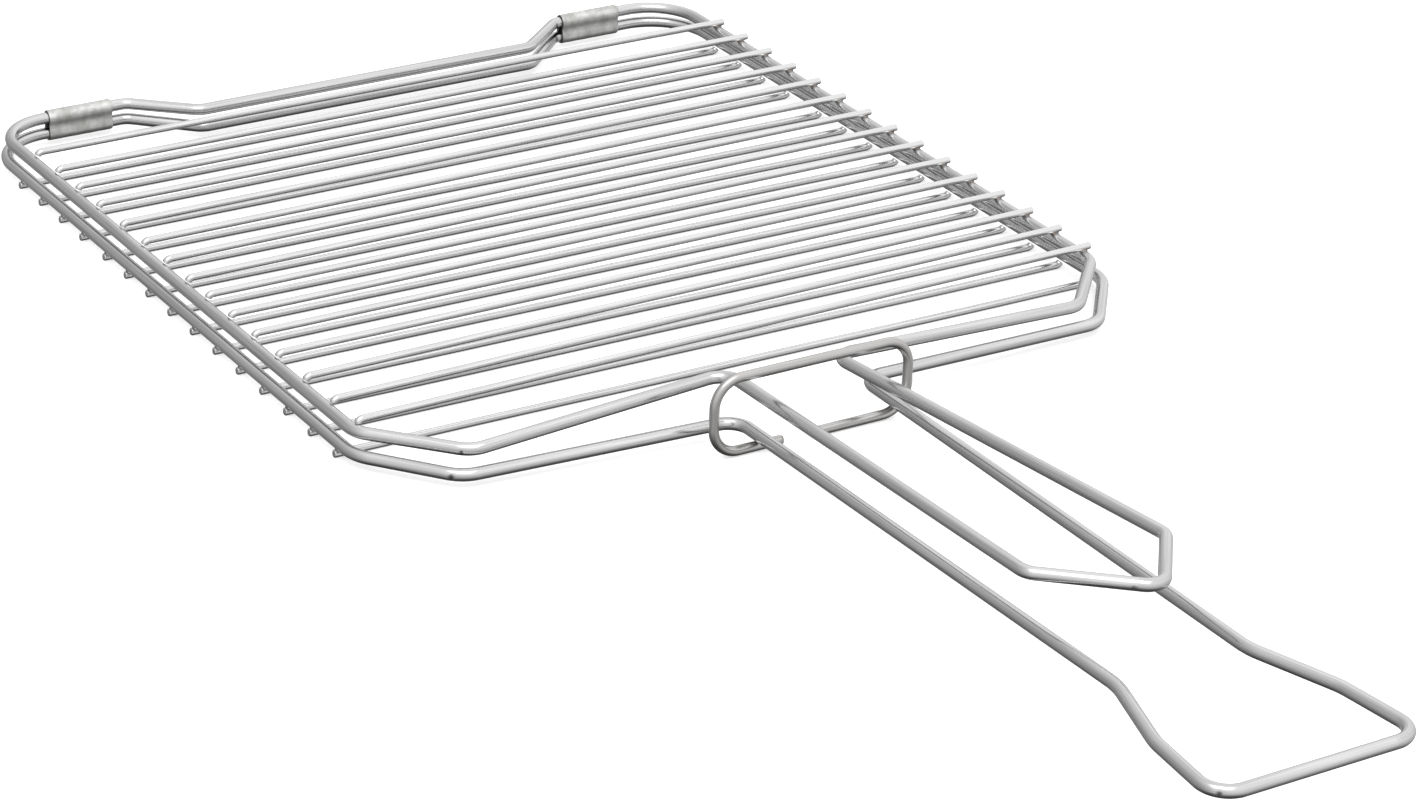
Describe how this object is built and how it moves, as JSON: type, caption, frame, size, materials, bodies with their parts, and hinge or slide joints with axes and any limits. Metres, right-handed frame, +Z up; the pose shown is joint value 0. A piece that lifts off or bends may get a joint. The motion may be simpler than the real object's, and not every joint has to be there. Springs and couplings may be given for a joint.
{
  "type": "grill basket",
  "caption": "Hinged wire grill basket: two grids of thin cross wires on thick wire frames, looped long handle, sheet hinge clips and a sliding locking ring.",
  "frame": {"origin": "middle of the whole outline at rest, on the plane under the lower cross wires", "axes": "+X across the basket to the right as seen from the handle end, +Y from the handle towards the hinge, +Z up"},
  "size_m": [0.3452, 0.6889, 0.0342],
  "materials": {
    "frame_wire": "bright drawn stainless steel wire",
    "cross_wire": "bright drawn stainless steel wire",
    "clip_sheet": "satin folded stainless sheet",
    "ring_wire": "drawn steel wire, darker, with a brownish heat tint"
  },
  "bodies": {
    "lower_half": {"lower_frame": "frame_wire", "lower_bar_01": "cross_wire", "lower_bar_02": "cross_wire", "lower_bar_03": "cross_wire", "lower_bar_04": "cross_wire", "lower_bar_05": "cross_wire", "lower_bar_06": "cross_wire", "lower_bar_07": "cross_wire", "lower_bar_08": "cross_wire", "lower_bar_09": "cross_wire", "lower_bar_10": "cross_wire", "lower_bar_11": "cross_wire", "lower_bar_12": "cross_wire", "lower_bar_13": "cross_wire", "lower_bar_14": "cross_wire", "lower_bar_15": "cross_wire"},
    "hinge_clips": {"hinge_clip_left": "clip_sheet", "hinge_clip_right": "clip_sheet"},
    "upper_half": {"upper_frame": "frame_wire", "upper_bar_01": "cross_wire", "upper_bar_02": "cross_wire", "upper_bar_03": "cross_wire", "upper_bar_04": "cross_wire", "upper_bar_05": "cross_wire", "upper_bar_06": "cross_wire", "upper_bar_07": "cross_wire", "upper_bar_08": "cross_wire", "upper_bar_09": "cross_wire", "upper_bar_10": "cross_wire", "upper_bar_11": "cross_wire", "upper_bar_12": "cross_wire", "upper_bar_13": "cross_wire", "upper_bar_14": "cross_wire", "upper_bar_15": "cross_wire"},
    "slider": {"slider_ring": "ring_wire"}
  },
  "joints": [
    {"name": "clip_swing", "type": "hinge", "parent": "lower_half", "child": "hinge_clips", "pos_m": [0, 0.34107, 0.00525], "axis": [-1, 0, 0], "range_deg": [0, 90]},
    {"name": "lid_hinge", "type": "hinge", "parent": "hinge_clips", "child": "upper_half", "pos_m": [0, 0.34107, 0.01205], "axis": [-1, 0, 0], "range_deg": [0, 90]},
    {"name": "ring_slide", "type": "slide", "parent": "lower_half", "child": "slider", "axis": [0.0338, -0.9994, 0], "range_m": [0, 0.22213]}
  ],
  "couplings": [
    {"joint": "clip_swing", "follows": "lid_hinge", "ratio": 1}
  ]
}
